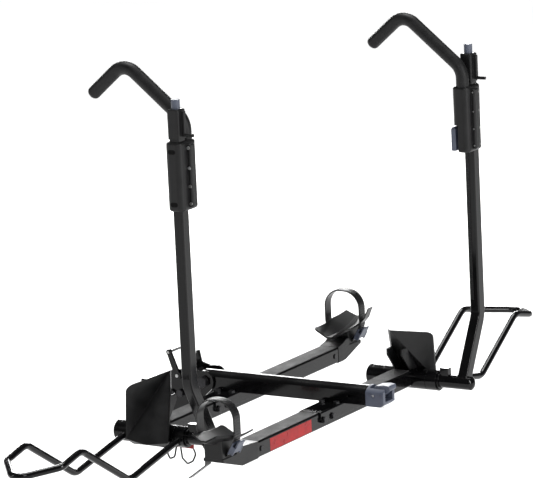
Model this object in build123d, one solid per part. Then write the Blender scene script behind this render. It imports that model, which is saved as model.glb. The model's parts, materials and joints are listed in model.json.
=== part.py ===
"""Two-bike hitch rack: a square tongue and tilt bracket carry a tilting spine with two wheel trays.

Each tray has a folding front wheel hoop, a scoop and a folding arm whose padded hook slides down
onto the front tyre, and a rear wheel cradle with a ladder strap.

Millimetres, +Z up. The origin is the centre of the hitch pin bore. +X runs along the spine away
from the vehicle, +Y along the trays. The inner tray has its front wheel end at -Y, the outer at +Y.
Dimensions marked "up" and "outward" are measured from the pivot at the tray's front wheel end.
"""
from build123d import *
from math import asin, atan2, cos, degrees, radians, sin
import os

# ---- hitch end
TONGUE = 50.8              # square tongue for a 2 inch receiver
TONGUE_WALL = 6.0
TONGUE_BACK, TONGUE_FRONT = -18.0, 116.0
PIN_BORE_R = 8.2           # bore for a 5/8 inch hitch pin
PIVOT_X, PIVOT_Z = 165.0, 36.0
PIVOT_R = 8.0
PLATE_T = 6.0              # thickness of the two side plates
PLATE_Y = TONGUE / 2 + 0.4
PLATE_OUTLINE = [(60, -49), (56, -15), (72, 56), (106, 61), (111, 96), (118, 96), (124, 68),
                 (150, 61), (165, 63), (183, 16), (141, -22), (123, -31)]
PLATE_LOBE_R = 27.0
QUADRANT_IN, QUADRANT_OUT, QUADRANT_HALF = 30.0, 40.0, 15.0
QUADRANT_FROM, QUADRANT_TO = 143.0, 266.0        # degrees about the pivot, from +X towards +Z
TILT_DOWN, TILT_UP = 25.0, 90.0
BRACKET_BOLTS = [(74.0, 0.0), (98.0, 2.0)]
BAIL_X, BAIL_Z = 95.0, 46.0
BAIL_TIP = (-21.0, 56.0)   # from the bail's pivot to its cross rod: along X, up
BAIL_PIN_R, BAIL_ROD_R = 4.0, 3.25
BAIL_T = 7.0
LOCK_UP = 13.0             # lock pin's height above the pivot
LOCK_R, DRAW_ROD_R = 4.5, 3.0

# ---- spine
SPINE_W = 50.8
SPINE_BOTTOM, SPINE_SHOULDER, SPINE_CROWN = 16.5, 48.5, 60.0
SPINE_WALL = 3.0
SPINE_TAIL_R = 26.0        # reach of the spine behind its pivot
SPINE_BORE_FROM = PIVOT_X + 32.0
SPINE_END, CAP_END = 608.0, 656.0
LEVER_X, LEVER_Z, LEVER_PIN_R = 628.0, 41.0, 3.0

# ---- trays
INNER_X, OUTER_X = 225.0, 513.0
TRAY_W, TRAY_H, TRAY_WALL = 50.8, 38.0, 2.5
TRAY_TOP = 14.5
TRAY_REAR = {"inner": 457.0, "outer": 397.0}     # length from the spine to the rear wheel end
STRIP_T, STRIP_W = 1.6, 45.0                     # grip strip on top of each tray
SADDLE_T, SADDLE_FLANGE, SADDLE_HALF_Y = 2.0, 4.0, 122.0
SADDLE_DROP = 26.0
SIDE_BOLT_Y, SIDE_BOLT_DROP = (-109.0, -69.0, 69.0, 109.0), 18.5
TOP_BOLT_X, TOP_BOLT_Y = 20.0, 34.0
END_SCREW_IN, END_SCREW_DROP = 15.0, 19.0        # screw from the tube's end, and below its top

# ---- front wheel end of each tray
BARREL_Y, BARREL_Z = 340.0, -10.0
BARREL_R, SHAFT_R, BORE_R = 25.0, 16.5, 16.55
BARREL_HALF = 60.0
COLLAR_IN, COLLAR_OUT = 61.0, 89.0
SHAFT_BACK, SHAFT_FRONT = -104.0, 176.0

# ---- wheel hoop: (outward, up) at each bend
HOOP_R, HOOP_WALL = 8.0, 2.0
HOOP_LEG_X = 74.0
HOOP_BENDS = [(232.0, -44.5), (419.0, 71.0), (497.5, 53.0)]
HOOP_APEX = (583.5, 39.5)
HOOP_RADII = [42.0, 42.0, 28.0, 30.0, 28.0, 42.0, 42.0]

# ---- scoop: corners as (across, outward, up)
SCOOP_TOP, SCOOP_LOW = (0.0, -73.0, 134.0), (0.0, 50.0, -15.0)
SCOOP_WING, SCOOP_HIP, SCOOP_TOE = (62.0, 24.0, 112.0), (58.0, 41.0, -8.0), (44.0, 30.0, -22.0)
SCOOP_DEPTH = 5.0          # plate's thickness along the tray
SCOOP_CORNER_RADII = (16.0, 10.0, 10.0)          # at the wing, hip and toe
WIRE_R = 2.1
WEB_X, WEB_T, WEB_DEPTH = 18.0, 4.0, 40.0

# ---- folding arm
ARM_X = 154.0              # from the tray's centre plane
ARM_W, ARM_D, ARM_WALL = 25.4, 30.0, 2.0
ARM_OUT = 83.0             # outward offset of the upright
ARM_BEND_UP, ARM_BEND_R = 150.0, 60.0
ARM_TUBE_TOP, ARM_CAP_LOW, ARM_CAP_TOP = 766.0, 722.0, 790.0
TOOTH_PITCH, TOOTH_FROM, TOOTH_TO = 10.0, 190.0, 710.0
BUTTON_R = 10.0
STUB_R, STUB_UP, STUB_END = 3.8, 731.0, 198.0
POST_R = 7.5               # round post on the cap's front

# ---- slider and hook
GRIP_BOTTOM, GRIP_TOP = 556.0, 716.0
GRIP_BACK, GRIP_FRONT = -23.0, 20.0              # along X, from the arm's centre
GRIP_IN, GRIP_OUT = 32.0, 105.0
GRIP_WALL = 3.0
EAR_X, EAR_R = 24.0, 5.0
GRIP_SCREWS_UP = [572.0, 612.0, 654.0, 700.0]
SCREW_R, SCREW_HEAD_R = 2.15, 3.8
STEM_OUT = 49.5            # outward position of the hook's plane
HOOK_CORE_R, HOOK_CORE_WALL, HOOK_PAD_R = 11.0, 2.5, 15.5
HOOK_APEX_UP, HOOK_ELBOW_UP = 883.0, 757.0
HOOK_TIP = (-85.0, 810.0)  # across, up
HOOK_RADII = [48.0, 42.0]
TRIGGER_PIN = (-21.5, 614.0)                     # along X from the arm's centre, up
TRIGGER_W = 12.0

# ---- rear wheel cradle, about its own centre: outward is away from the spine
CRADLE_Y = {"inner": 532.0, "outer": 512.0}
CRADLE_REACH = 75.0
CRADLE_HALF_IN, CRADLE_HALF_OUT = 43.0, 31.0     # half widths at its two ends
CRADLE_R, CRADLE_LOW_OUT, CRADLE_LOW_UP = 300.0, -42.0, 48.0
CRADLE_RISE, CRADLE_T = 20.0, 4.5                # rise of the wings over the crease
BLOCK_HALF_X, BLOCK_IN, BLOCK_OUT, BLOCK_UP = 24.0, -20.0, 38.0, 20.0
STRAP_AT, STRAP_W, STRAP_T = 8.0, 28.0, 2.6
STRAP_LOW, STRAP_TOP, STRAP_HALF_LOW, STRAP_HALF = 24.0, 153.0, 26.0, 50.0
STRAP_SHOULDER = 66.0
BUCKLE_PIN_R = 2.0

CLEAR = 0.5                # gap between bodies that move past each other
FIT = 0.05                 # radial clearance of a running pin


def at(x, y, z, shape):
    """Move a shape by plain offsets."""
    return Pos(x, y, z) * shape


def box_between(low, high):
    """A box from its lowest corner to its highest."""
    size = [h - l for l, h in zip(low, high)]
    return Pos(*[(h + l) / 2 for l, h in zip(low, high)]) * Box(*size)


def rod(start, end, radius):
    """A round bar between two points."""
    a, b = Vector(*start), Vector(*end)
    plane = Plane(origin=a, z_dir=b - a)
    return extrude(plane * Circle(radius), amount=(b - a).length)


def ring(start, end, outer, inner):
    """A round tube between two points."""
    return rod(start, end, outer) - rod(start, end, inner)


def cross_rod(x, z, half, radius):
    """A round bar along Y, centred on the spine."""
    return rod((x, -half, z), (x, half, z), radius)


def side_plate(outline, half):
    """A plate in the XZ plane, centred on Y = 0."""
    return extrude(Plane.XZ * make_face(Polyline(*outline, close=True)), amount=half, both=True)


def bent_bar(points, radii, outer, inner=0.0):
    """A round bar or tube swept along straight runs with tangent bends."""
    path = FilletPolyline(*points, radius=radii)
    start = Plane(origin=path @ 0, z_dir=path % 0)
    section = start * Circle(outer)
    if inner:
        section = section - start * Circle(inner)
    return sweep(section, path=path)


def hex_head(centre, direction, across, height):
    """A hexagonal bolt head or nut standing on a face."""
    plane = Plane(origin=Vector(*centre), z_dir=Vector(*direction))
    return extrude(plane * RegularPolygon(across / 2, 6, major_radius=False), amount=height)


def mirrored(shape, side):
    """The inner tray's handed parts are the outer tray's mirrored across the spine."""
    return shape if side == "outer" else mirror(shape, about=Plane.XZ)


def tray_x(side):
    """Centre plane of a tray."""
    return OUTER_X if side == "outer" else INNER_X


def place(shape, side):
    """Carry a front wheel end part, built about its pivot, to its own tray."""
    return at(tray_x(side), 0, BARREL_Z, mirrored(at(0, BARREL_Y, 0, shape), side))


def place_rear(shape, side):
    """Carry a rear wheel end part, built about the cradle's centre, to its own tray."""
    return at(tray_x(side), 0, BARREL_Z, mirrored(at(0, -CRADLE_Y[side], 0, shape), side))


def save(name, shape):
    """Write one node, as separate solids where it has several."""
    solids = list(shape) if isinstance(shape, (list, tuple)) else shape.solids()
    export_step(solids[0] if len(solids) == 1 else Compound(children=list(solids)), f"parts/{name}.step")


# ------------------------------------------------------------------ hitch end

def bracket_bolt_holes(radius):
    return [cross_rod(x, z, 60, radius) for x, z in BRACKET_BOLTS]


def hitch_tongue():
    """Square tube that slides into the vehicle's receiver, with the hitch pin bore."""
    half, inside = TONGUE / 2, TONGUE / 2 - TONGUE_WALL
    tongue = box_between((TONGUE_BACK, -half, -half), (TONGUE_FRONT, half, half))
    tongue = fillet(tongue.edges().filter_by(Axis.X), 4.0)
    tongue -= box_between((TONGUE_BACK - 1, -inside, -inside), (TONGUE_FRONT - 12, inside, inside))
    tongue -= cross_rod(0, 0, 40, PIN_BORE_R)
    for hole in bracket_bolt_holes(5.0):
        tongue -= hole
    return tongue


def tilt_bracket():
    """Two plates that clasp the tongue and carry the tilt pivot and the bail."""
    plate = side_plate(PLATE_OUTLINE, PLATE_T / 2)
    plate = fillet(plate.edges().filter_by(Axis.Y), 3.0)
    plate += cross_rod(PIVOT_X, PIVOT_Z, PLATE_T / 2, PLATE_LOBE_R)
    plate -= cross_rod(PIVOT_X, PIVOT_Z, 20, PIVOT_R + FIT)
    plate -= cross_rod(BAIL_X, BAIL_Z, 20, BAIL_PIN_R + FIT)
    for hole in bracket_bolt_holes(5.0):
        plate -= hole
    return [at(0, side * (PLATE_Y + PLATE_T / 2), 0, plate) for side in (-1, 1)]


def lock_path(tilt, radius):
    """The lock pin's path in the quadrant when the spine is tilted by an angle in degrees."""
    c, s = cos(radians(tilt)), sin(radians(tilt))
    start = (PIVOT_X + LOCK_UP * s, 0, PIVOT_Z + LOCK_UP * c)
    return rod(start, (start[0] - 60 * c, 0, start[2] + 60 * s), radius)


def index_quadrant():
    """Arc behind the pivot, notched where the lock pin holds the spine stowed, level or lowered."""
    steps = 6
    sweep_step = (QUADRANT_TO - QUADRANT_FROM) / steps
    angles = [radians(QUADRANT_FROM + i * sweep_step) for i in range(steps + 1)]
    sector = [(PIVOT_X, PIVOT_Z)] + [(PIVOT_X + 70 * cos(a), PIVOT_Z + 70 * sin(a)) for a in angles]
    arc = cross_rod(PIVOT_X, PIVOT_Z, QUADRANT_HALF, QUADRANT_OUT) & side_plate(sector, 40)
    half = TONGUE / 2
    foot = box_between((TONGUE_FRONT, -half, -16), (PIVOT_X - QUADRANT_IN, half, 52))
    body = arc + (foot - cross_rod(PIVOT_X, PIVOT_Z, 40, QUADRANT_OUT - 2))
    body -= cross_rod(PIVOT_X, PIVOT_Z, 40, QUADRANT_IN)
    for tilt in (-TILT_UP, 0.0, TILT_DOWN):
        body -= lock_path(tilt, LOCK_R + 0.4)
    return body


def pivot_bolt():
    """Tilt pivot: a headed bolt with a washer and a nut."""
    face = PLATE_Y + PLATE_T
    bolt = cross_rod(PIVOT_X, PIVOT_Z, face + 1, PIVOT_R)
    for side in (-1, 1):
        bolt += rod((PIVOT_X, side * (face + FIT), PIVOT_Z), (PIVOT_X, side * (face + 2), PIVOT_Z), 14.0)
        bolt += hex_head((PIVOT_X, side * (face + 1), PIVOT_Z), (0, side, 0), 24.0, 10.0)
    return bolt


def bracket_bolts():
    """Bolts through the plates and the tongue."""
    face = PLATE_Y + PLATE_T
    group = []
    for x, z in BRACKET_BOLTS:
        bolt = cross_rod(x, z, face + 1, 4.95)
        for side in (-1, 1):
            bolt += hex_head((x, side * (face + FIT), z), (0, side, 0), 17.0, 6.5)
        group.append(bolt)
    return group


def tilt_bail():
    """Two lever arms outside the plates, joined by a cross rod at the top."""
    inner = PLATE_Y + PLATE_T + CLEAR
    tip_x, tip_z = BAIL_X + BAIL_TIP[0], BAIL_Z + BAIL_TIP[1]
    outline = [(BAIL_X - 8, BAIL_Z), (tip_x - 6, tip_z), (tip_x + 6, tip_z), (BAIL_X + 8, BAIL_Z)]
    arm = side_plate(outline, BAIL_T / 2)
    arm += cross_rod(BAIL_X, BAIL_Z, BAIL_T / 2, 10.0) + cross_rod(tip_x, tip_z, BAIL_T / 2, 7.0)
    arm -= cross_rod(BAIL_X, BAIL_Z, 10, BAIL_PIN_R) + cross_rod(tip_x, tip_z, 10, BAIL_ROD_R)
    return [at(0, side * (inner + BAIL_T / 2), 0, arm) for side in (-1, 1)]


def bail_rods():
    """The bail's pivot pin and its cross rod."""
    half = PLATE_Y + PLATE_T + CLEAR + BAIL_T + 2
    return [cross_rod(BAIL_X, BAIL_Z, half, BAIL_PIN_R),
            cross_rod(BAIL_X + BAIL_TIP[0], BAIL_Z + BAIL_TIP[1], half, BAIL_ROD_R)]


# ---------------------------------------------------------------------- spine

def spine_solid(inset, start, end):
    """The spine's section, flat sides and floor with a domed top, carried along X."""
    half = SPINE_W / 2 - inset
    low, shoulder, crown = SPINE_BOTTOM + inset, SPINE_SHOULDER, SPINE_CROWN - inset
    edges = (Polyline((-half, shoulder), (-half, low), (half, low), (half, shoulder))
             + ThreePointArc((half, shoulder), (0, crown), (-half, shoulder)))
    plane = Plane(origin=(start, 0, 0), x_dir=(0, 1, 0), z_dir=(1, 0, 0))
    return extrude(plane * make_face(edges), amount=end - start)


def spine_tube():
    """Tilting spine: a solid tail round the pivot and the lock pin, then a hollow tube."""
    tube = spine_solid(0, PIVOT_X - SPINE_TAIL_R, SPINE_END)
    tube -= spine_solid(SPINE_WALL, SPINE_BORE_FROM, SPINE_END + 1)
    round_tail = cross_rod(PIVOT_X, PIVOT_Z, 40, SPINE_TAIL_R)
    tube -= box_between((PIVOT_X - 60, -40, -60), (PIVOT_X, 40, 90)) - round_tail
    tube -= cross_rod(PIVOT_X, PIVOT_Z, 40, PIVOT_R + FIT)
    lock_z = PIVOT_Z + LOCK_UP
    tube -= rod((PIVOT_X - 60, 0, lock_z), (SPINE_BORE_FROM + 1, 0, lock_z), LOCK_R + FIT)
    tube -= cross_rod(SPINE_END - 46, PIVOT_Z - 2, 40, 4.0)
    return tube


def lock_pin():
    """Lock pin at the pivot end with the long draw rod that runs to the end cap."""
    lock_z = PIVOT_Z + LOCK_UP
    nose_x = PIVOT_X - ((QUADRANT_IN - 0.6) ** 2 - (LOCK_UP + LOCK_R) ** 2) ** 0.5
    pin = rod((nose_x, 0, lock_z), (SPINE_BORE_FROM + 14, 0, lock_z), LOCK_R)
    return pin + rod((SPINE_BORE_FROM + 13, 0, lock_z), (SPINE_END + 4, 0, lock_z), DRAW_ROD_R)


def spine_cap():
    """Plastic end cap: a plug inside the tube and a faceted head that carries the tilt lever."""
    plug = spine_solid(SPINE_WALL + 0.1, SPINE_END - 26, SPINE_END + 1)
    head = spine_solid(-1.6, SPINE_END, CAP_END)
    head = chamfer(head.faces().sort_by(Axis.X)[-1].edges().sort_by(Axis.Z)[0], 9.0, 7.0)
    head = fillet(head.edges().filter_by(Axis.X).group_by(Axis.Z)[-1], 6.0)
    pocket = box_between((SPINE_END + 7, -17, LEVER_Z - 14), (CAP_END + 5, 17, 90))
    lock_z = PIVOT_Z + LOCK_UP
    cap = plug + head - pocket
    cap -= rod((SPINE_END - 40, 0, lock_z), (CAP_END, 0, lock_z), DRAW_ROD_R + 0.4)
    return cap - cross_rod(LEVER_X, LEVER_Z, 40, LEVER_PIN_R)


def tilt_lever():
    """Thick tongue of a lever in the end cap that works the draw rod."""
    outline = [(-9, -9), (-9, 12), (2, 22), (22, 25), (38, 24), (40, 14), (24, 4), (10, -9)]
    body = side_plate([(LEVER_X + x, LEVER_Z + z) for x, z in outline], 16.0)
    body = fillet(body.edges().filter_by(Axis.Y), 3.5)
    return body - cross_rod(LEVER_X, LEVER_Z, 40, LEVER_PIN_R + FIT)


def lever_pin():
    return cross_rod(LEVER_X, LEVER_Z, SPINE_W / 2, LEVER_PIN_R)


def saddle_bolt_axes(x):
    """Ends of every saddle bolt of one tray: across the flanges, then down through the top."""
    half, z = TRAY_W / 2 + SADDLE_FLANGE, TRAY_TOP - SIDE_BOLT_DROP
    axes = [((x - half, y, z), (x + half, y, z)) for y in SIDE_BOLT_Y]
    for sx in (-1, 1):
        for y in (-TOP_BOLT_Y, TOP_BOLT_Y):
            place_x = x + sx * TOP_BOLT_X
            axes.append(((place_x, y, TRAY_TOP - 12), (place_x, y, TRAY_TOP + SADDLE_T)))
    return axes


def drill_saddle_bolts(body, x, radius):
    """Cut one tray's saddle bolt holes in a body."""
    for start, end in saddle_bolt_axes(x):
        run = (Vector(*end) - Vector(*start)).normalized() * 2
        body -= rod(tuple(Vector(*start) - run), tuple(Vector(*end) + run), radius)
    return body


def saddle_plates():
    """Plate between the spine and each tray, with a flange down each side of the tray."""
    group = []
    for x in (INNER_X, OUTER_X):
        half = TRAY_W / 2 + SADDLE_FLANGE
        top = TRAY_TOP + SADDLE_T
        plate = box_between((x - half, -SADDLE_HALF_Y, TRAY_TOP - SADDLE_DROP),
                            (x + half, SADDLE_HALF_Y, top))
        plate = fillet(plate.edges().filter_by(Axis.Y).sort_by(Axis.Z)[-2:], 4.0)
        plate = chamfer(plate.edges().filter_by(Axis.X).sort_by(Axis.Z)[:2], 12.0)
        wide = TRAY_W / 2 + 0.05
        plate -= box_between((x - wide, -200, -90), (x + wide, 200, TRAY_TOP + 0.02))
        group.append(drill_saddle_bolts(plate, x, 4.05))
    return group


def spine_bolts():
    """Bolts through the saddle flanges and down through the saddle into the tray."""
    group = []
    for x in (INNER_X, OUTER_X):
        for start, end in saddle_bolt_axes(x):
            run = (Vector(*end) - Vector(*start)).normalized()
            bolt = rod(tuple(Vector(*start) - run), tuple(Vector(*end) + run), 4.0)
            bolt += hex_head(tuple(Vector(*end) + run * FIT), tuple(run), 14.0, 5.5)
            if run.Z < 0.5:
                bolt += hex_head(tuple(Vector(*start) - run * FIT), tuple(run * -1), 14.0, 6.5)
            group.append(bolt)
    return group


# ---------------------------------------------------------------------- trays

def tray_tube(side):
    """Rectangular tray tube, coped round the barrel at its front wheel end."""
    front, rear, x = BARREL_Y - 10, -TRAY_REAR[side], tray_x(side)
    top, low, half, w = TRAY_TOP, TRAY_TOP - TRAY_H, TRAY_W / 2, TRAY_WALL
    tube = box_between((-half, rear, low), (half, front, top))
    tube = fillet(tube.edges().filter_by(Axis.Y), 4.0)
    tube -= box_between((-half + w, rear - 1, low + w), (half - w, front + 1, top - w))
    tube -= rod((-80, BARREL_Y, BARREL_Z), (80, BARREL_Y, BARREL_Z), BARREL_R + 0.02)
    screw_y, screw_z = rear + END_SCREW_IN, top - END_SCREW_DROP
    tube -= rod((-40, screw_y, screw_z), (40, screw_y, screw_z), 2.6)
    return drill_saddle_bolts(at(x, 0, 0, mirrored(tube, side)), x, 4.05)


def tray_strips():
    """Grip strip on top of each tray, in two lengths either side of the spine."""
    group = []
    for side in ("inner", "outer"):
        x, sign = tray_x(side), 1 if side == "outer" else -1
        runs = ((2 - TRAY_REAR[side], -SADDLE_HALF_Y - 2), (SADDLE_HALF_Y + 2, BARREL_Y - BARREL_R - 6))
        for low, high in runs:
            y0, y1 = sorted((sign * low, sign * high))
            group.append(box_between((x - STRIP_W / 2, y0, TRAY_TOP),
                                     (x + STRIP_W / 2, y1, TRAY_TOP + STRIP_T)))
    return group


def tray_end(side):
    """Moulded end piece: a plug in the tube and an elbow that rises under the cradle's block."""
    mouth, centre = TRAY_REAR[side], CRADLE_Y[side]
    top, low = TRAY_TOP + 1.5, TRAY_TOP - TRAY_H - 1.5
    seat = BARREL_Z + BLOCK_UP - 0.3
    outline = [(mouth + 0.1, top), (mouth + 0.1, low), (centre - 49, low), (centre + 36, seat - 7),
               (centre + 36, seat), (centre - 21, seat), (centre - 21, seat + 16), (centre - 30, seat + 20),
               (centre - 52, top + 5)]
    plane_yz = Plane(origin=(0, 0, 0), x_dir=(0, -1, 0), z_dir=(-1, 0, 0))
    body = extrude(plane_yz * make_face(Polyline(*outline, close=True)), amount=TRAY_W / 2 + 1.0, both=True)
    body = chamfer(body.faces().sort_by(Axis.Z)[0].edges().filter_by(Axis.Y), 3.0)
    half, w = TRAY_W / 2, TRAY_WALL + 0.1
    body += box_between((-half + w, -mouth - 0.5, low + 1.5 + w), (half - w, -mouth + 40, top - 1.5 - w))
    screw_y, screw_z = -mouth + END_SCREW_IN, TRAY_TOP - END_SCREW_DROP
    body -= rod((-40, screw_y, screw_z), (40, screw_y, screw_z), 2.5)
    return at(tray_x(side), 0, 0, mirrored(body, side))


def tray_screws():
    """Pan head screws that hold each end piece in its tube."""
    group = []
    for side in ("inner", "outer"):
        sign = 1 if side == "outer" else -1
        y, z = -sign * (TRAY_REAR[side] - END_SCREW_IN), TRAY_TOP - END_SCREW_DROP
        for sx in (-1, 1):
            face = tray_x(side) + sx * (TRAY_W / 2 + FIT)
            screw = rod((face, y, z), (face + sx * 2.4, y, z), 6.5)
            group.append(screw + rod((face - sx * 14, y, z), (face + sx, y, z), 2.45))
    return group


# ------------------------------------------------------- front wheel end parts

def pivot_barrel(side):
    """Fixed barrel at the tray's front wheel end."""
    return place(ring((-BARREL_HALF, 0, 0), (BARREL_HALF, 0, 0), BARREL_R, BORE_R), side)


def arm_shaft(side):
    """Shaft that turns in the barrel and carries the arm, turned with a boss, a flange and a nose."""
    boss, flange = -COLLAR_OUT - CLEAR, COLLAR_OUT + CLEAR
    nose = 8.0
    nose_r = (SHAFT_R ** 2 + nose ** 2) / (2 * nose)
    half_turn = asin(SHAFT_R / nose_r) / 2
    tip = SHAFT_FRONT + nose
    middle = (tip - nose_r + nose_r * cos(half_turn), nose_r * sin(half_turn))
    steps = Polyline((tip, 0), (SHAFT_BACK, 0), (SHAFT_BACK, BARREL_R - 2.5), (SHAFT_BACK + 2.5, BARREL_R),
                     (boss, BARREL_R), (boss, SHAFT_R), (flange, SHAFT_R), (flange, 21.0),
                     (flange + 4, 21.0), (flange + 4, SHAFT_R), (SHAFT_FRONT, SHAFT_R))
    profile = make_face(steps + ThreePointArc((SHAFT_FRONT, SHAFT_R), middle, (tip, 0)))
    shaft = revolve(profile, axis=Axis.X)
    lug = box_between((flange + 5, -8, 10), (flange + 27, 8, 34))
    return place(shaft + lug, side)


def wheel_hoop(side):
    """Bent tube hoop with a pointed crossbar, welded to two collars that turn on the shaft."""
    start = 21.0
    slope = atan2(HOOP_BENDS[0][1], HOOP_BENDS[0][0])
    leg = [(start * cos(slope), start * sin(slope))] + HOOP_BENDS
    points = [(HOOP_LEG_X, y, z) for y, z in leg]
    points += [(0, *HOOP_APEX)]
    points += [(-HOOP_LEG_X, y, z) for y, z in reversed(leg)]
    hoop = bent_bar(points, HOOP_RADII, HOOP_R, HOOP_R - HOOP_WALL)
    hoop -= rod((-120, 0, 0), (120, 0, 0), BARREL_R - 0.5)
    for sx in (-1, 1):
        hoop += ring((sx * COLLAR_IN, 0, 0), (sx * COLLAR_OUT, 0, 0), BARREL_R, BORE_R)
    return place(hoop, side)


def scoop_facets(depth):
    """The scoop's facets, each carried towards the spine by a depth along the tray."""
    body = None
    for sx in (-1, 1):
        wing, hip, toe = [(sx * x, y, z) for x, y, z in (SCOOP_WING, SCOOP_HIP, SCOOP_TOE)]
        for corners in ((SCOOP_TOP, wing, hip), (SCOOP_TOP, hip, SCOOP_LOW), (SCOOP_LOW, hip, toe)):
            face = make_face(Polyline(*corners, close=True))
            prism = extrude(face, amount=depth, dir=(0, -1, 0))
            body = prism if body is None else body + prism
    return body


def scoop_column():
    """The scoop's outline seen along the tray, with rounded corners, as a column."""
    half = [(c[0], c[2]) for c in (SCOOP_TOP, SCOOP_WING, SCOOP_HIP, SCOOP_TOE, SCOOP_LOW)]
    column = side_plate(half + [(-x, z) for x, z in reversed(half[1:-1])], 150)
    for (x, z), radius in zip(half[1:-1], SCOOP_CORNER_RADII):
        edges = column.edges().filter_by(Axis.Y)
        column = fillet([edges.sort_by_distance((sx * x, 0, z))[0] for sx in (-1, 1)], radius)
    return column


def scoop(side):
    """V-folded plate that the front tyre runs into, on two webs over the barrel."""
    body = scoop_facets(SCOOP_DEPTH) & scoop_column()
    deep = scoop_facets(WEB_DEPTH)
    for sx in (-1, 1):
        x0, x1 = sorted((sx * WEB_X, sx * (WEB_X + WEB_T)))
        body += deep & (box_between((x0, -60, 26), (x1, 60, 84)) + box_between((x0, -9, 0), (x1, 60, 30)))
    body -= rod((-120, 0, 0), (120, 0, 0), BARREL_R + FIT)
    return place(body.solids().sort_by(SortBy.VOLUME)[-1], side)


def wire_loops():
    """Two stiff wire loops that hang under the inner tray's barrel."""
    x = INNER_X + BARREL_HALF - 3.0
    hanging = [[(-20, -24), (-14, -58), (7, -77), (30, -77), (44, -64), (34, -46)],
               [(-34, -18), (-46, -47), (-66, -46), (-76, -30), (-71, -23)]]
    barrel = rod((x - 20, -BARREL_Y, BARREL_Z), (x + 20, -BARREL_Y, BARREL_Z), BARREL_R + FIT)
    group = []
    for line in hanging:
        points = [(x, 33 - BARREL_Y + y, BARREL_Z + z) for y, z in line]
        group.append(bent_bar(points, [8.0] * (len(points) - 2), WIRE_R) - barrel)
    return group


def red_tag():
    """Red tag on a tab under the inner tray's barrel, facing away from the spine."""
    x, y = INNER_X + BARREL_HALF, -BARREL_Y
    tag = box_between((x - 23, y + 28, BARREL_Z - 36), (x + 23, y + 31, BARREL_Z - 16))
    tag = fillet(tag.edges().filter_by(Axis.Y), 2.0)
    tag += box_between((x - 23, y + 15, BARREL_Z - 19), (x - 8, y + 30, BARREL_Z - 16))
    return tag - rod((x - 40, y, BARREL_Z), (x + 40, y, BARREL_Z), BARREL_R + FIT)


# ------------------------------------------------------------------------ arm

def arm_hole(low, high, gap):
    """Room for the arm's upright between two heights."""
    return box_between((ARM_X - ARM_W / 2 - gap, ARM_OUT - ARM_D / 2 - gap, low),
                       (ARM_X + ARM_W / 2 + gap, ARM_OUT + ARM_D / 2 + gap, high))


def teeth_hole():
    """Room for the ratchet strip on the upright's inboard face."""
    face = ARM_OUT - ARM_D / 2
    return box_between((ARM_X - 10, face - 2.4, 500), (ARM_X, face + 1, 800))


def arm_tube(side):
    """Rectangular tube that leans out from the shaft and then rises straight."""
    path = FilletPolyline((ARM_X, 0, 0), (ARM_X, ARM_OUT, ARM_BEND_UP), (ARM_X, ARM_OUT, ARM_TUBE_TOP),
                          radius=ARM_BEND_R)
    start = Plane(origin=path @ 0, x_dir=(1, 0, 0), z_dir=path % 0)
    tube = sweep(start * RectangleRounded(ARM_W, ARM_D, 4.0), path=path)
    tube -= sweep(start * RectangleRounded(ARM_W - 2 * ARM_WALL, ARM_D - 2 * ARM_WALL, 2.0), path=path)
    tube -= rod((ARM_X - 40, 0, 0), (ARM_X + 40, 0, 0), SHAFT_R + 0.02)
    tube -= box_between((ARM_X - 40, -60, -60), (ARM_X + 40, 60, 0))
    return place(tube, side)


def arm_teeth(side):
    """Ratchet strip on the inboard face of the upright."""
    face = ARM_OUT - ARM_D / 2
    strip = box_between((ARM_X - 9, face - 1.6, TOOTH_FROM), (ARM_X - 1, face - 0.02, TOOTH_TO))
    for i in range(int((TOOTH_TO - TOOTH_FROM) / TOOTH_PITCH)):
        z = TOOTH_FROM + TOOTH_PITCH * (i + 0.5)
        strip -= box_between((ARM_X - 10, face - 1.7, z - 2.2), (ARM_X, face - 0.8, z + 2.2))
    return place(strip, side)


def arm_cap(side):
    """Plastic cap over the arm's top, bored for the release button, with a round post and a stub."""
    half_x, half_y = ARM_W / 2 + 2.5, ARM_D / 2 + 1.3
    cap = box_between((ARM_X - half_x, ARM_OUT - half_y, ARM_CAP_LOW),
                      (ARM_X + half_x, ARM_OUT + half_y, ARM_CAP_TOP))
    cap = fillet(cap.edges().filter_by(Axis.Z), 4.5)
    cap = chamfer(cap.faces().sort_by(Axis.Z)[-1].edges(), 2.0)
    post_x = ARM_X + half_x + POST_R
    post = rod((post_x, ARM_OUT, ARM_CAP_LOW + 10), (post_x, ARM_OUT, ARM_CAP_TOP), POST_R)
    cap += fillet(post.faces().sort_by(Axis.Z)[-1].edges(), 1.5)
    cap += box_between((post_x - POST_R - 1, ARM_OUT - 4, ARM_CAP_LOW + 10),
                       (post_x, ARM_OUT + 4, ARM_CAP_TOP - 4))
    cap += rod((ARM_X + half_x - 1, ARM_OUT, STUB_UP), (STUB_END, ARM_OUT, STUB_UP), STUB_R)
    cap -= arm_hole(ARM_CAP_LOW - 1, ARM_TUBE_TOP, FIT)
    cap -= rod((ARM_X, ARM_OUT, ARM_TUBE_TOP - 5), (ARM_X, ARM_OUT, ARM_CAP_TOP + 1), BUTTON_R + FIT)
    return place(cap, side)


def arm_button(side):
    """Push button that frees the locked hook, guided in the cap."""
    button = rod((ARM_X, ARM_OUT, ARM_TUBE_TOP + 6), (ARM_X, ARM_OUT, ARM_CAP_TOP + 22), BUTTON_R)
    return place(fillet(button.faces().sort_by(Axis.Z)[-1].edges(), 1.5), side)


# -------------------------------------------------------------- slider and hook

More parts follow.
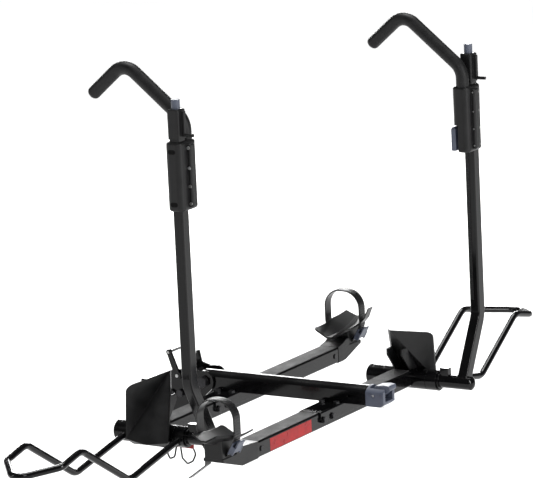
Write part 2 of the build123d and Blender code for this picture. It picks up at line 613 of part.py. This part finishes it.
def grip_solid(inset):
    """Rounded body of the slider housing, inset evenly for the cavity."""
    body = box_between((ARM_X + GRIP_BACK + inset, GRIP_IN + inset, GRIP_BOTTOM + inset),
                       (ARM_X + GRIP_FRONT - inset, GRIP_OUT - inset, GRIP_TOP - inset))
    body = fillet(body.edges().filter_by(Axis.Z), 14.0 - inset)
    by_height = body.faces().sort_by(Axis.Z)
    return fillet(by_height[0].edges() + by_height[-1].edges(), 7.0 - inset)


def grip_shells(side):
    """The two halves of the housing, split on a plane along the arm, with a screw flange."""
    cavity = grip_solid(GRIP_WALL)
    flange = box_between((ARM_X + 8, STEM_OUT + 4, GRIP_BOTTOM + 7),
                         (ARM_X + EAR_X + EAR_R, STEM_OUT + 26, GRIP_TOP - 7))
    flange = fillet(flange.edges().filter_by(Axis.Z), EAR_R - 0.5)
    flange = fillet(flange.faces().sort_by(Axis.X)[-1].edges().filter_by(Axis.Y), 4.0)
    body = grip_solid(0) + flange - cavity
    for z in GRIP_SCREWS_UP:
        body -= rod((ARM_X + EAR_X, STEM_OUT + 3, z), (ARM_X + EAR_X, STEM_OUT + 27, z), SCREW_R + FIT)
    body -= arm_hole(500, 800, CLEAR)
    body -= teeth_hole()
    body -= rod((ARM_X, STEM_OUT, GRIP_TOP - 10), (ARM_X, STEM_OUT, 800), HOOK_PAD_R + FIT)
    body -= box_between((ARM_X + GRIP_BACK - 4, GRIP_IN - 1, GRIP_BOTTOM - 5),
                        (ARM_X + GRIP_BACK + TRIGGER_W + 3, GRIP_IN + 28, GRIP_BOTTOM + 66))
    split = STEM_OUT + 15.0
    inboard = body & box_between((0, -20, 0), (400, split - FIT, 900))
    outboard = body & box_between((0, split + FIT, 0), (400, 200, 900))
    pin_x, pin_z = ARM_X + TRIGGER_PIN[0], TRIGGER_PIN[1]
    inboard += rod((pin_x, GRIP_IN + 1.5, pin_z), (pin_x, split - FIT, pin_z), 2.0)
    return place(inboard, side), place(outboard, side)


def grip_screws(side):
    """Screws through the housing's flange."""
    group = []
    x = ARM_X + EAR_X
    for z in GRIP_SCREWS_UP:
        shank = rod((x, STEM_OUT + 3.6, z), (x, STEM_OUT + 26.4, z), SCREW_R)
        head = rod((x, STEM_OUT + 26 + FIT, z), (x, STEM_OUT + 28, z), SCREW_HEAD_R)
        group.append(place(shank + head, side))
    return group


def slider_carriage(side):
    """Steel carriage inside the housing that joins the hook's stem to the arm's slide faces."""
    block = grip_solid(GRIP_WALL + FIT) & box_between((0, 0, 622), (400, 200, 668))
    block -= arm_hole(500, 800, CLEAR)
    block -= teeth_hole()
    block -= rod((ARM_X, STEM_OUT, 600), (ARM_X, STEM_OUT, 800), HOOK_CORE_R + 0.02)
    return place(block, side)


def hook_points(foot_up, tip_run):
    """Centreline of the hook from inside the housing over the apex to beyond its tip."""
    slope = atan2(HOOK_TIP[1] - HOOK_APEX_UP, HOOK_TIP[0])
    tip = (HOOK_TIP[0] + tip_run * cos(slope), STEM_OUT, HOOK_TIP[1] + tip_run * sin(slope))
    return [(ARM_X, STEM_OUT, foot_up), (ARM_X, STEM_OUT, HOOK_ELBOW_UP), (0.0, STEM_OUT, HOOK_APEX_UP), tip]


def hook_core(side):
    """Steel tube of the hook."""
    core = bent_bar(hook_points(624.0, 0.0), HOOK_RADII, HOOK_CORE_R, HOOK_CORE_R - HOOK_CORE_WALL)
    return place(core, side)


def hook_pad(side):
    """Soft sleeve over the hook, closed and rounded at the tip."""
    ends = hook_points(GRIP_TOP - 8, 12.0)
    pad = bent_bar(ends, HOOK_RADII, HOOK_PAD_R)
    pad = fillet(pad.faces().sort_by_distance(ends[-1])[0].edges(), 11.0)
    return place(pad - bent_bar(hook_points(GRIP_TOP - 20, 0.1), HOOK_RADII, HOOK_CORE_R + 0.02), side)


def grip_trigger(side):
    """Squeeze trigger in the lower corner of the housing, on a pin across its top."""
    x0, pin_x, pin_z = ARM_X + GRIP_BACK - 4.0, ARM_X + TRIGGER_PIN[0], TRIGGER_PIN[1]
    y0, y1 = GRIP_IN + 0.8, GRIP_IN + 27.5
    body = box_between((x0, y0, GRIP_BOTTOM + 4), (x0 + TRIGGER_W, y1, pin_z))
    body = fillet(body.edges().filter_by(Axis.Y), 2.5)
    body += rod((pin_x, y0, pin_z), (pin_x, y1, pin_z), 4.0)
    return place(body - rod((pin_x, 0, pin_z), (pin_x, 90, pin_z), 2.0 + FIT), side)


# ------------------------------------------------------------------ rear cradle

def wheel_cradle(side):
    """Dished V-shaped trough that the rear tyre sits in, on a block with a tunnel for the strap."""
    axis_y, axis_z = -CRADLE_LOW_OUT, CRADLE_LOW_UP + CRADLE_R
    outward = degrees(asin((CRADLE_REACH - CRADLE_LOW_OUT) / CRADLE_R))
    inward = degrees(asin((CRADLE_REACH + CRADLE_LOW_OUT) / CRADLE_R)) + 1
    half, flat, rise = CRADLE_HALF_IN, 7.0, CRADLE_RISE
    inside = [(-half, CRADLE_R - rise), (-flat, CRADLE_R), (flat, CRADLE_R), (half, CRADLE_R - rise)]
    outside = [(x, r + CRADLE_T) for x, r in reversed(inside)]
    turn = radians(inward)
    start = Plane(origin=(0, axis_y, axis_z), x_dir=(1, 0, 0), z_dir=(0, cos(turn), sin(turn)))
    axis = Axis((0, axis_y, axis_z), (-1, 0, 0))
    trough = revolve(start * make_face(Polyline(*(inside + outside), close=True)), axis, inward + outward)
    inner_y, outer_y = CRADLE_REACH, -CRADLE_REACH
    plan = Polyline((half, inner_y), (half, -20), (CRADLE_HALF_OUT, outer_y), (-CRADLE_HALF_OUT, outer_y),
                    (-half, -20), (-half, inner_y), close=True)
    column = extrude(make_face(plan), amount=200)
    column = fillet(column.edges().filter_by(Axis.Z), 9.0)
    trough = trough & column
    block = box_between((-BLOCK_HALF_X, -BLOCK_OUT, BLOCK_UP), (BLOCK_HALF_X, -BLOCK_IN, 100))
    block = fillet(block.edges().filter_by(Axis.Z), 5.0)
    above = [(-half, CRADLE_R - 60), (half, CRADLE_R - 60), (half, CRADLE_R - rise + 1),
             (flat, CRADLE_R + 1), (-flat, CRADLE_R + 1), (-half, CRADLE_R - rise + 1)]
    block -= revolve(start * make_face(Polyline(*above, close=True)), axis, inward + outward)
    body = trough + block
    tunnel_y = STRAP_W / 2 + 0.3
    body -= box_between((-60, -STRAP_AT - tunnel_y, STRAP_LOW - 0.3),
                        (60, -STRAP_AT + tunnel_y, STRAP_LOW + STRAP_T + 3))
    return place_rear(body, side)


def strap_outline(inset):
    """The strap's loop seen along the tray, inset evenly for its inside."""
    low, top = STRAP_LOW + inset, STRAP_TOP - inset
    wide, narrow = STRAP_HALF - inset, STRAP_HALF_LOW - inset * 0.6
    corners = [(-narrow, low), (narrow, low), (wide, STRAP_SHOULDER), (wide, top), (-wide, top),
               (-wide, STRAP_SHOULDER)]
    radii = (9.0, 9.0, 36.0, 44.0, 44.0, 36.0)
    plate = side_plate(corners, STRAP_W / 2 + (1.0 if inset else 0.0))
    for (x, z), radius in zip(corners, radii):
        edge = plate.edges().filter_by(Axis.Y).sort_by_distance((x, 0, z))[0]
        plate = fillet(edge, radius - inset)
    return plate


def cradle_strap(side):
    """Ladder strap: a loop round the tyre, through the tunnel in the cradle's block, and its tail."""
    loop = strap_outline(0.0) - strap_outline(STRAP_T)
    if side == "outer":
        line = [(-32, 34), (-33, -3), (-82, -39)]
    else:
        line = [(48.7, 71), (62, 86), (73.5, 112)]
    points = [(x, 0, z) for x, z in line]
    path = FilletPolyline(*points, radius=6.0)
    start = Plane(origin=path @ 0, x_dir=(0, 1, 0), z_dir=path % 0)
    tail = sweep(start * RectangleRounded(STRAP_W - 4, STRAP_T, 0.8), path=path)
    return place_rear(at(0, -STRAP_AT, 0, loop + tail), side)


def buckle_plane():
    """Plane on the strap's slanting lower run: X along the tray, Y up the strap, Z away from it."""
    low, high = Vector(STRAP_HALF_LOW, 0, STRAP_LOW), Vector(STRAP_HALF, 0, STRAP_SHOULDER)
    run = (high - low).normalized()
    return Plane(origin=(low + high) * 0.5, x_dir=(0, 1, 0), z_dir=(run.Z, 0, -run.X))


def strap_buckle(side):
    """Buckle frame on the strap's lower run, with cheeks and the lever's pivot pin."""
    frame = box_between((-17, -15, FIT), (17, 15, 3.0))
    for sx in (-1, 1):
        x0, x1 = sorted((sx * 14.2, sx * 17))
        frame += box_between((x0, -12, FIT), (x1, 7, 13.0))
    frame += rod((-17, -4, 8.5), (17, -4, 8.5), BUCKLE_PIN_R)
    return place_rear(at(0, -STRAP_AT, 0, buckle_plane() * frame), side)


def buckle_lever(side):
    """Ratchet lever of the strap buckle."""
    lever = rod((-13.4, -4, 8.5), (13.4, -4, 8.5), 4.4)
    lever += box_between((-13.4, -4, 8.9), (13.4, 24, 12.4))
    lever = fillet(lever.edges().filter_by(Axis.X).sort_by(Axis.Y)[-2:], 1.5)
    lever -= rod((-20, -4, 8.5), (20, -4, 8.5), BUCKLE_PIN_R + FIT)
    return place_rear(at(0, -STRAP_AT, 0, buckle_plane() * lever), side)


SHARED = {
    "hitch_tongue": hitch_tongue, "tilt_bracket": tilt_bracket, "index_quadrant": index_quadrant,
    "pivot_bolt": pivot_bolt, "bracket_bolts": bracket_bolts, "tilt_bail": tilt_bail, "bail_rods": bail_rods,
    "spine_tube": spine_tube, "lock_pin": lock_pin, "spine_cap": spine_cap, "tilt_lever": tilt_lever,
    "lever_pin": lever_pin, "saddle_plates": saddle_plates, "spine_bolts": spine_bolts,
    "tray_strips": tray_strips, "tray_screws": tray_screws, "wire_loops": wire_loops, "red_tag": red_tag,
}
PER_TRAY = {
    "tray": tray_tube, "tray_end": tray_end, "pivot_barrel": pivot_barrel, "arm_shaft": arm_shaft,
    "wheel_hoop": wheel_hoop, "scoop": scoop, "arm": arm_tube, "arm_teeth": arm_teeth, "arm_cap": arm_cap,
    "arm_button": arm_button, "grip_screws": grip_screws, "slider_carriage": slider_carriage,
    "hook_core": hook_core, "hook_pad": hook_pad, "grip_trigger": grip_trigger,
    "wheel_cradle": wheel_cradle, "strap": cradle_strap, "strap_buckle": strap_buckle,
    "buckle_lever": buckle_lever,
}


def build():
    os.makedirs("parts", exist_ok=True)
    for name, make in SHARED.items():
        save(name, make())
    for side in ("inner", "outer"):
        for name, make in PER_TRAY.items():
            save(f"{side}_{name}", make(side))
        inboard, outboard = grip_shells(side)
        save(f"{side}_grip_inboard_shell", inboard)
        save(f"{side}_grip_outboard_shell", outboard)


build()
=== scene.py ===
"""Looks of a two-bike hitch rack: materials, small pieces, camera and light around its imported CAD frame.

Metres, in the CAD's own frame: +X away from the vehicle, +Y along the wheel trays, +Z up.
"""
import bmesh
import bpy
import json
from math import cos, pi, radians, sin, tan
from mathutils import Matrix, Vector


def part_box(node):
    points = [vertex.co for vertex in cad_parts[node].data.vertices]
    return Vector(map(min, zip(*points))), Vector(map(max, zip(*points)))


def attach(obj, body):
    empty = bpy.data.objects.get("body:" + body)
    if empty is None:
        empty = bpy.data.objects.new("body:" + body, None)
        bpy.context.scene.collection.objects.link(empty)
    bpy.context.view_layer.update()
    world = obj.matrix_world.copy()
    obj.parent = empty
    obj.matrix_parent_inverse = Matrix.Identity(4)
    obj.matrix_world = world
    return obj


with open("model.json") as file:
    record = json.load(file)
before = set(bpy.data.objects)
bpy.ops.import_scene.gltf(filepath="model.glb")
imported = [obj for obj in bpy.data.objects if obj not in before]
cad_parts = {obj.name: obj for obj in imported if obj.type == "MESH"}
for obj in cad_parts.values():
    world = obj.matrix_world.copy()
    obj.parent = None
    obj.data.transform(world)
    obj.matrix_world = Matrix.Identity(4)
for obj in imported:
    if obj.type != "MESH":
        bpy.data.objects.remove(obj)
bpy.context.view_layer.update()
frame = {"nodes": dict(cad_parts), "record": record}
nodes = frame["nodes"]
MM = 0.001
SIDES = (("inner", -1), ("outer", 1))     # each tray, and the way its front wheel end points along Y


# ------------------------------------------------------------------ materials

def link(tree, source, output, target, socket):
    tree.links.new(source.outputs[output], target.inputs[socket])


def noise(tree, coord, scale, detail=4.0, stretch=(1, 1, 1)):
    """Noise over the piece's own coordinates, which may be stretched along an axis."""
    mapping = tree.nodes.new("ShaderNodeMapping")
    mapping.inputs["Scale"].default_value = stretch
    link(tree, coord, "Object", mapping, "Vector")
    node = tree.nodes.new("ShaderNodeTexNoise")
    node.inputs["Scale"].default_value = scale
    node.inputs["Detail"].default_value = detail
    link(tree, mapping, "Vector", node, "Vector")
    return node


def ramp(tree, source, output, colours, low=0.35, high=0.65):
    """Colours spread between two levels of a texture."""
    node = tree.nodes.new("ShaderNodeValToRGB")
    stops = node.color_ramp.elements
    stops[0].position, stops[1].position = low, high
    stops[0].color, stops[1].color = (*colours[0], 1), (*colours[-1], 1)
    for i, colour in enumerate(colours[1:-1], 1):
        stop = stops.new(low + (high - low) * i / (len(colours) - 1))
        stop.color = (*colour, 1)
    link(tree, source, output, node, "Fac")
    return node


NOISE_SPAN = (0.3, 0.7)          # the levels that most of a noise texture lies between
SPECK_LEVELS = (0.56, 0.64)      # the levels over which a fleck fades in


def surface(name, colours, drift, grain, rough, bump, edge=0.0, stretch=(1, 1, 1), speck=None, **sockets):
    """A material whose colour drifts, whose roughness varies and whose grain is raised.

    drift and grain are noise scales per metre, rough is the roughness's range, bump is (strength, height
    in metres), edge rounds the look of sharp edges by that radius, and speck is the colour of fine flecks.
    """
    material = bpy.data.materials.new(name)
    material.use_nodes = True
    tree = material.node_tree
    shader = tree.nodes["Principled BSDF"]
    coord = tree.nodes.new("ShaderNodeTexCoord")
    coarse = noise(tree, coord, drift, 5.0, stretch)
    fine = noise(tree, coord, grain, 3.0, stretch)
    tint = ramp(tree, coarse, "Fac", colours)
    if speck:
        dots = ramp(tree, fine, "Fac", [(0, 0, 0), (1, 1, 1)], *SPECK_LEVELS)
        mix = tree.nodes.new("ShaderNodeMix")
        mix.data_type = "RGBA"
        tree.links.new(dots.outputs["Color"], mix.inputs[0])
        tree.links.new(tint.outputs["Color"], mix.inputs[6])
        mix.inputs[7].default_value = (*speck, 1)
        tree.links.new(mix.outputs[2], shader.inputs["Base Color"])
    else:
        link(tree, tint, "Color", shader, "Base Color")
    spread = tree.nodes.new("ShaderNodeMapRange")
    spread.inputs["From Min"].default_value, spread.inputs["From Max"].default_value = NOISE_SPAN
    spread.inputs["To Min"].default_value = rough[0]
    spread.inputs["To Max"].default_value = rough[1]
    link(tree, coarse, "Fac", spread, "Value")
    link(tree, spread, "Result", shader, "Roughness")
    relief = tree.nodes.new("ShaderNodeBump")
    relief.inputs["Strength"].default_value = bump[0]
    relief.inputs["Distance"].default_value = bump[1]
    link(tree, fine, "Fac", relief, "Height")
    if edge:
        soft = tree.nodes.new("ShaderNodeBevel")
        soft.samples = 4
        soft.inputs["Radius"].default_value = edge
        link(tree, soft, "Normal", relief, "Normal")
    link(tree, relief, "Normal", shader, "Normal")
    for socket, value in sockets.items():
        shader.inputs[socket.replace("_", " ")].default_value = value
    return material


PAINT = surface("gloss_black_paint", [(0.0012, 0.0012, 0.0014), (0.0022, 0.0022, 0.0025)], 14, 700,
                (0.12, 0.20), (0.10, 0.00005), 0.0016, Specular_IOR_Level=0.18, Coat_Weight=0.10,
                Coat_Roughness=0.05)
BOLT = surface("black_oxide", [(0.010, 0.010, 0.011), (0.022, 0.022, 0.024)], 120, 900, (0.30, 0.45),
               (0.25, 0.0001), 0.0008, Metallic=0.6)
ZINC = surface("zinc_plate", [(0.30, 0.30, 0.29), (0.46, 0.47, 0.48)], 90, 900, (0.28, 0.46), (0.2, 0.0001),
               0.0006, Metallic=1.0)
MOULDED = surface("dark_moulded_plastic", [(0.0040, 0.0040, 0.0043), (0.0065, 0.0065, 0.0068)], 30, 1500,
                  (0.34, 0.46), (0.35, 0.00012), 0.0014, Specular_IOR_Level=0.25)
BLUE_GREY = surface("blue_grey_plastic", [(0.045, 0.053, 0.078), (0.062, 0.072, 0.102)], 45, 1300,
                    (0.38, 0.5), (0.25, 0.0001), 0.0010)
GRIT = surface("grip_strip", [(0.018, 0.018, 0.0185), (0.030, 0.030, 0.0305)], 40, 1100, (0.62, 0.85),
               (0.8, 0.0005), speck=(0.06, 0.06, 0.06), Specular_IOR_Level=0.3)
SLEEVE = surface("foam_sleeve", [(0.0030, 0.0030, 0.0032), (0.0055, 0.0055, 0.0058)], 60, 1400, (0.42, 0.58),
                 (0.7, 0.00025), 0.0010, Specular_IOR_Level=0.25)
STRAP = surface("strap_rubber", [(0.0040, 0.0040, 0.0042), (0.0070, 0.0070, 0.0073)], 70, 900, (0.26, 0.38),
                (0.25, 0.0001), 0.0006, Specular_IOR_Level=0.4)
RED = surface("red_plastic", [(0.22, 0.004, 0.004), (0.32, 0.008, 0.007)], 60, 800, (0.32, 0.45),
              (0.2, 0.0001), 0.0008, Specular_IOR_Level=0.3)
DECAL = surface("red_decal", [(0.24, 0.003, 0.005), (0.34, 0.006, 0.008)], 35, 500, (0.26, 0.36),
                (0.1, 0.00006), Specular_IOR_Level=0.2)
# near-black and matte: painted shade standing in for the darkness inside the housings' recesses
RECESS_SHADE_PAINT = surface("painted_recess_shade", [(0.0015, 0.0015, 0.0015), (0.003, 0.003, 0.003)], 60, 600, (0.7, 0.85),
               (0.2, 0.0001), Specular_IOR_Level=0.1)
SPRING = surface("spring_steel", [(0.55, 0.55, 0.54), (0.72, 0.72, 0.70)], 200, 900, (0.2, 0.32),
                 (0.1, 0.00005), Metallic=1.0)
SLOT_FINISH = {"black_steel": PAINT, "black_bolt": BOLT, "zinc_steel": ZINC, "grey_plastic": MOULDED,
               "blue_grey_plastic": BLUE_GREY, "grip_rubber": GRIT, "soft_sleeve": SLEEVE,
               "strap_rubber": STRAP, "red_plastic": RED}


def finish_cad():
    """Give every CAD node its slot's finish."""
    for row in frame["record"]["subparts"]:
        node = nodes[row["node"]]
        node.data.materials.clear()
        node.data.materials.append(SLOT_FINISH[row["material_slot"]])


# ------------------------------------------------------------------ mesh helpers

def piece(name, mesh, material, body):
    """A finished mesh, shown with one material, riding on a CAD body."""
    data = bpy.data.meshes.new(name)
    mesh.to_mesh(data)
    mesh.free()
    data.materials.append(material)
    obj = bpy.data.objects.new(name, data)
    bpy.context.scene.collection.objects.link(obj)
    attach(obj, body)
    return obj


def add_block(mesh, centre, x_dir, y_dir, size, bevel=0.0):
    """A block with bevelled edges, set along two directions."""
    x_dir, y_dir = Vector(x_dir).normalized(), Vector(y_dir).normalized()
    turn = Matrix((x_dir, y_dir, x_dir.cross(y_dir))).transposed().to_4x4()
    made = bmesh.ops.create_cube(mesh, size=1.0)["verts"]
    bmesh.ops.scale(mesh, vec=size, verts=made)
    if bevel:
        edges = list({e for v in made for e in v.link_edges})
        made = bmesh.ops.bevel(mesh, geom=edges, offset=bevel, segments=2, affect="EDGES",
                               profile=0.5)["verts"]
    bmesh.ops.transform(mesh, matrix=Matrix.Translation(Vector(centre)) @ turn, verts=made)


ARC_STEP = radians(4)


def rounded_line(corners, radii, step):
    """Points along a closed loop of corners joined by arcs, evenly spaced, with the way each one runs."""
    count, runs = len(corners), []
    for i in range(count):
        before, here, after = (Vector(corners[(i + k) % count]) for k in (-1, 0, 1))
        a, b = (before - here).normalized(), (after - here).normalized()
        half = a.angle(b) / 2
        reach = radii[i] / tan(half)
        centre = here + (a + b).normalized() * (radii[i] / sin(half))
        start, end = here + a * reach - centre, here + b * reach - centre
        turn = start.angle(end)
        parts = max(2, int(turn / ARC_STEP))
        for k in range(parts + 1):
            t = k / parts
            from_start, from_end = sin((1 - t) * turn) / sin(turn), sin(t * turn) / sin(turn)
            runs.append(centre + start * from_start + end * from_end)
    points, carried = [], 0.0
    for p, q in zip(runs, runs[1:] + runs[:1]):
        length = (q - p).length
        while length > 0 and carried <= length:
            points.append((p.lerp(q, carried / length), (q - p).normalized()))
            carried += step
        carried -= length
    return points


# ------------------------------------------------------------------ ladder straps

BARREL_Z = -10 * MM                        # height that the strap's loop is measured from
STRAP_WIDTH = 28 * MM
RUNG_PITCH, RUNG_RISE = 6.2 * MM, 1.5 * MM
RUNG_INSET = 1.5 * MM                      # from the strap's edge to a rung's end
RUNG_SUNK, RUNG_BEVEL = 0.2 * MM, 0.4 * MM
# the loop's outline: its foot is narrow, and it is widest from the shoulder to the top
FOOT_HALF, LOOP_HALF = 26 * MM, 50 * MM
FOOT_Z, SHOULDER_Z, TOP_Z = 24 * MM, 66 * MM, 153 * MM
LOOP_RADII = [r * MM for r in (9, 9, 36, 44, 44, 36)]
OVER_SHOULDER, OVER_BUCKLE = 6 * MM, 4 * MM     # how far above these the rungs begin
OUTER_SIDE = 0.9 * LOOP_HALF                    # past this, the strap's outer leg


def strap_rungs(side):
    """The ladder strap's rungs, standing on the outside of its loop."""
    strap_low, strap_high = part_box(f"{side}_strap")
    cradle_low, cradle_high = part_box(f"{side}_wheel_cradle")
    middle = Vector(((cradle_low.x + cradle_high.x) / 2, (strap_low.y + strap_high.y) / 2, BARREL_Z))
    buckle_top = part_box(f"{side}_strap_buckle")[1].z - BARREL_Z
    corners = [(-FOOT_HALF, 0, FOOT_Z), (FOOT_HALF, 0, FOOT_Z), (LOOP_HALF, 0, SHOULDER_Z),
               (LOOP_HALF, 0, TOP_Z), (-LOOP_HALF, 0, TOP_Z), (-LOOP_HALF, 0, SHOULDER_Z)]
    rung = (RUNG_PITCH / 2, STRAP_WIDTH - 2 * RUNG_INSET, RUNG_RISE)
    mesh = bmesh.new()
    for point, along in rounded_line(corners, LOOP_RADII, RUNG_PITCH):
        if point.z < SHOULDER_Z + OVER_SHOULDER and point.x < OUTER_SIDE:
            continue
        if point.z < buckle_top + OVER_BUCKLE:
            continue
        outward = Vector((along.z, 0, -along.x))
        centre = middle + point + outward * (RUNG_RISE / 2 - RUNG_SUNK)
        add_block(mesh, centre, along, (0, 1, 0), rung, RUNG_BEVEL)
    return piece(f"{side}_strap_rungs", mesh, STRAP, "spine")


# ------------------------------------------------------------------ sliding housings

OVAL_HALF, OVAL_R = 4.5 * MM, 5.2 * MM      # half the straight part, and the ends' radius
OVAL_PROUD, OVAL_SUNK = 0.15 * MM, 1.0 * MM
OVAL_STEPS = 12                             # sides to each rounded end
OVAL_ACROSS = 20 * MM                       # from the housing's edge nearest the vehicle
OVAL_FROM_FOOT, OVAL_FROM_TOP = 17 * MM, 22 * MM


def add_oval(mesh, centre, across, up, facing):
    """A flat oval plug with rounded ends, facing one way."""
    rim, back = [], []
    for end in (1, -1):
        for k in range(OVAL_STEPS + 1):
            angle = -pi / 2 + pi * k / OVAL_STEPS
            sideways, upwards = end * (OVAL_HALF + OVAL_R * cos(angle)), end * OVAL_R * sin(angle)
            place = centre + across * sideways + up * upwards
            rim.append(mesh.verts.new(place + facing * OVAL_PROUD))
            back.append(mesh.verts.new(place - facing * OVAL_SUNK))
    mesh.faces.new(rim)
    for i in range(len(rim)):
        j = (i + 1) % len(rim)
        mesh.faces.new((rim[i], back[i], back[j], rim[j]))


def housing_ovals(side, way):
    """Two flat near-black oval plugs on the outer face of the sliding housing: painted shade where the real
    housing has two recesses.
    """
    low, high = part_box(f"{side}_grip_outboard_shell")
    face_y = high.y if way > 0 else low.y
    mesh = bmesh.new()
    for z in (low.z + OVAL_FROM_FOOT, high.z - OVAL_FROM_TOP):
        add_oval(mesh, Vector((low.x + OVAL_ACROSS, face_y, z)), Vector((1, 0, 0)), Vector((0, 0, 1)),
                 Vector((0, way, 0)))
    bmesh.ops.recalc_face_normals(mesh, faces=mesh.faces)
    return piece(f"{side}_housing_recess_shade", mesh, RECESS_SHADE_PAINT, f"{side}_slider")


# ------------------------------------------------------------------ decal and spring

DECAL_FROM, DECAL_TO = -345 * MM, -160 * MM     # along the tray
DECAL_OVER, DECAL_UNDER = 3.5 * MM, 5 * MM      # from the tray's lower and upper edges
DECAL_THICK, DECAL_PROUD, DECAL_BEVEL = 0.4 * MM, 0.1 * MM, 0.12 * MM


def tray_decal():
    """A plain red panel on the outer tray's side that faces away from the vehicle."""
    low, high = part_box("outer_tray")
    z0, z1 = low.z + DECAL_OVER, high.z - DECAL_UNDER
    centre = (high.x + DECAL_PROUD, (DECAL_FROM + DECAL_TO) / 2, (z0 + z1) / 2)
    mesh = bmesh.new()
    add_block(mesh, centre, (0, 1, 0), (0, 0, 1), (DECAL_TO - DECAL_FROM, z1 - z0, DECAL_THICK), DECAL_BEVEL)
    return piece("side_decal", mesh, DECAL, "spine")


SPRING_RADIUS, SPRING_WIRE = 3.2 * MM, 1.1 * MM
SPRING_TURNS, SPRING_PITCH = 5, 2.2 * MM
SPRING_IN, SPRING_ACROSS, SPRING_BELOW = 14 * MM, -8 * MM, 6 * MM     # its foot, from the end cap
STEPS_PER_TURN = 16


def end_spring():
    """A small upright coil spring under the spine's end cap."""
    cap_low, cap_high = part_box("spine_cap")
    start = Vector((cap_high.x - SPRING_IN, SPRING_ACROSS, cap_low.z - SPRING_BELOW))
    axis = Vector((0, 0, 1))
    first = axis.orthogonal().normalized()
    second = axis.cross(first)
    curve = bpy.data.curves.new("end_spring", "CURVE")
    curve.dimensions = "3D"
    curve.bevel_depth = SPRING_WIRE / 2
    curve.bevel_resolution = 2
    line = curve.splines.new("POLY")
    steps = SPRING_TURNS * STEPS_PER_TURN
    line.points.add(steps)
    for i in range(steps + 1):
        angle = 2 * pi * i / STEPS_PER_TURN
        place = start + axis * (SPRING_PITCH * i / STEPS_PER_TURN)
        place += first * (SPRING_RADIUS * cos(angle)) + second * (SPRING_RADIUS * sin(angle))
        line.points[i].co = (*place, 1)
    wire = bpy.data.objects.new("end_spring", curve)
    bpy.context.scene.collection.objects.link(wire)
    curve.materials.append(SPRING)
    data = bpy.data.meshes.new_from_object(wire.evaluated_get(bpy.context.evaluated_depsgraph_get()))
    bpy.data.objects.remove(wire)
    spring = bpy.data.objects.new("end_spring", data)
    bpy.context.scene.collection.objects.link(spring)
    data.materials.clear()
    data.materials.append(SPRING)
    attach(spring, "spine")
    return spring


# ------------------------------------------------------------------ stage

FLOOR_DROP = 0.42          # the hitch's height over the ground
AZIMUTH, ELEVATION, ROLL = 31.8, 12.0, -2.7
CAMERA_DISTANCE, LENS, SENSOR_WIDTH = 10.13, 286.5, 36
AIM = Vector((0.225, 0.0, 0.010))          # the fitted frame's origin
SHIFT_RIGHT, SHIFT_UP = -0.0812, -0.3637   # the aim point's place in the camera's own axes
VIEW_END = 200
FLOOR_HALF = 60
WORLD_STRENGTH = 0.12
SUN_STRENGTH, SUN_ANGLE, SUN_TURN = 3.4, 34, (-14, -10, 0)      # angles in degrees
LIT_POINT = (0.3, 0, 0.4)
SOFT_BOXES = (("left_box", (-3.4, -3.6, 1.6), (0.5, 3.0), 40),      # name, place, size, watts
              ("right_box", (5.0, -0.6, 1.9), (0.9, 3.0), 150),
              ("front_box", (3.4, -5.4, 3.4), (1.8, 1.2), 110),
              ("back_box", (-3.0, 4.6, 1.7), (4.0, 1.0), 260))


def make_camera():
    """The photograph's view: a long lens, a little turned about its axis."""
    a, e, r = radians(AZIMUTH), radians(ELEVATION), radians(ROLL)
    back = Vector((sin(a) * cos(e), -cos(a) * cos(e), sin(e)))
    right = Vector((cos(a), sin(a), 0))
    up = back.cross(right)
    turned_right = right * cos(r) + up * sin(r)
    turned_up = up * cos(r) - right * sin(r)
    camera = bpy.data.objects.new("camera", bpy.data.cameras.new("camera"))
    bpy.context.scene.collection.objects.link(camera)
    rotation = Matrix((turned_right, turned_up, back)).transposed()
    place = AIM - turned_right * SHIFT_RIGHT - turned_up * SHIFT_UP + back * CAMERA_DISTANCE
    camera.matrix_world = Matrix.Translation(place) @ rotation.to_4x4()
    camera.data.lens = LENS
    camera.data.sensor_width = SENSOR_WIDTH
    camera.data.clip_end = VIEW_END
    bpy.context.scene.camera = camera


def soft_box(name, place, size, watts):
    """A rectangular light turned towards the middle of the rack."""
    light = bpy.data.lights.new(name, "AREA")
    light.shape = "RECTANGLE"
    light.size, light.size_y = size
    light.energy = watts
    obj = bpy.data.objects.new(name, light)
    bpy.context.scene.collection.objects.link(obj)
    obj.location = place
    obj.rotation_euler = (Vector(LIT_POINT) - Vector(place)).to_track_quat("-Z", "Y").to_euler()


def make_floor():
    """A plain pale floor under the raised rack."""
    mesh = bmesh.new()
    bmesh.ops.create_grid(mesh, x_segments=1, y_segments=1, size=FLOOR_HALF)
    data = bpy.data.meshes.new("floor")
    mesh.to_mesh(data)
    mesh.free()
    floor = bpy.data.objects.new("floor", data)
    bpy.context.scene.collection.objects.link(floor)
    floor.location = (0, 0, -FLOOR_DROP)
    data.materials.append(surface("pale_floor", [(0.86, 0.86, 0.86), (0.90, 0.90, 0.90)], 0.6, 40,
                                  (0.75, 0.85), (0.02, 0.0005)))


def make_stage():
    """The floor, a pale sky and soft studio lights."""
    make_floor()
    world = bpy.data.worlds.new("studio")
    world.use_nodes = True
    background = world.node_tree.nodes["Background"]
    background.inputs["Color"].default_value = (1, 1, 1, 1)
    background.inputs["Strength"].default_value = WORLD_STRENGTH
    bpy.context.scene.world = world
    bpy.context.scene.view_settings.view_transform = "Standard"
    sun = bpy.data.objects.new("sky_panel", bpy.data.lights.new("sky_panel", "SUN"))
    sun.data.energy = SUN_STRENGTH
    sun.data.angle = radians(SUN_ANGLE)
    sun.rotation_euler = [radians(turn) for turn in SUN_TURN]
    bpy.context.scene.collection.objects.link(sun)
    for name, place, size, watts in SOFT_BOXES:
        soft_box(name, place, size, watts)


finish_cad()
for side, way in SIDES:
    strap_rungs(side)
    housing_ovals(side, way)
tray_decal()
end_spring()
make_camera()
make_stage()
